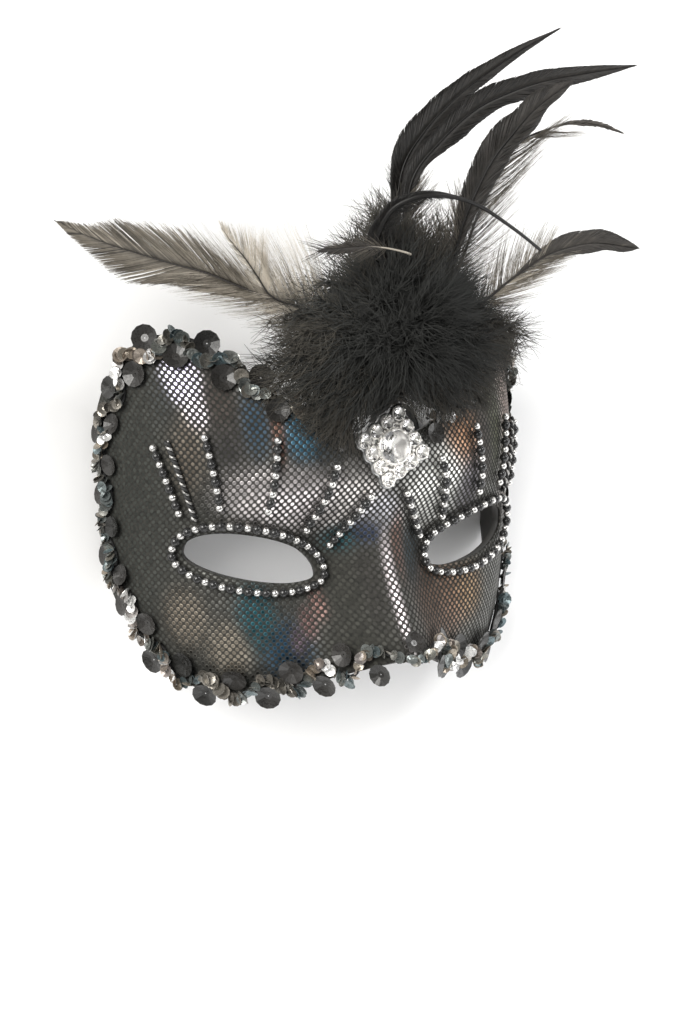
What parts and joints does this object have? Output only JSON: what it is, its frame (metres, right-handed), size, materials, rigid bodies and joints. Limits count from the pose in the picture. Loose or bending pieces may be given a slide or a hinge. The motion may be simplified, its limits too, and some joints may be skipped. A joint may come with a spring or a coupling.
{
  "type": "masquerade mask",
  "caption": "Moulded half mask in dark metallic mesh with waving sequin braid, beads round the eyes, a clear jewel, marabou puff, feathers and strap, lying on its side rims.",
  "frame": {"origin": "middle of the underside of everything but the loose strap, on the plane that the side rims rest on", "axes": "+Z the way the mask faces, +Y towards the forehead and feathers, +X towards the wearer's left"},
  "size_m": [0.1912, 0.2134, 0.0867],
  "materials": {
    "shell": "matte moulded plastic, dark inside",
    "mesh_fabric": "black knit with small bright foil dots in slanted rows, silver with blue and copper glints",
    "sequins": "glossy black, silver and clear sequins",
    "beads": "glossy, silver and black by turns",
    "silver_setting": "bright silver",
    "clear_stones": "clear faceted",
    "black_feather": "black feather with a slight sheen",
    "grey_feather": "thin grey-brown feather, downy at the base",
    "marabou": "soft black down",
    "elastic": "matte woven black elastic"
  },
  "bodies": {
    "root": {"mask_shell": "shell", "fabric_cover": "mesh_fabric", "sequin_trim": "sequins", "eye_beads_left": "beads", "eye_beads_right": "beads", "bead_ray_left_1": "beads", "bead_ray_left_2": "beads", "bead_ray_left_3": "beads", "bead_ray_left_4": "beads", "bead_ray_left_5": "beads", "bead_ray_right_1": "beads", "bead_ray_right_2": "beads", "bead_ray_right_3": "beads", "bead_ray_right_4": "beads", "bead_ray_right_5": "beads", "jewel_setting": "silver_setting", "jewel_centre_stone": "clear_stones", "jewel_small_stone_1": "clear_stones", "jewel_small_stone_2": "clear_stones", "jewel_small_stone_3": "clear_stones", "jewel_small_stone_4": "clear_stones", "jewel_small_stone_5": "clear_stones", "jewel_small_stone_6": "clear_stones", "jewel_small_stone_7": "clear_stones", "jewel_small_stone_8": "clear_stones", "jewel_small_stone_9": "clear_stones", "jewel_small_stone_10": "clear_stones", "jewel_small_stone_11": "clear_stones", "jewel_small_stone_12": "clear_stones", "feather_top_long": "black_feather", "feather_top_broad": "black_feather", "feather_right_tall": "black_feather", "feather_thin_curl": "black_feather", "bare_quill": "black_feather", "feather_right_short": "black_feather", "feather_left_long": "grey_feather", "feather_left_downy": "grey_feather", "feather_small_centre": "grey_feather", "marabou_puff": "marabou", "strap": "elastic", "strap_tab_left": "elastic", "strap_tab_right": "elastic"}
  },
  "joints": []
}
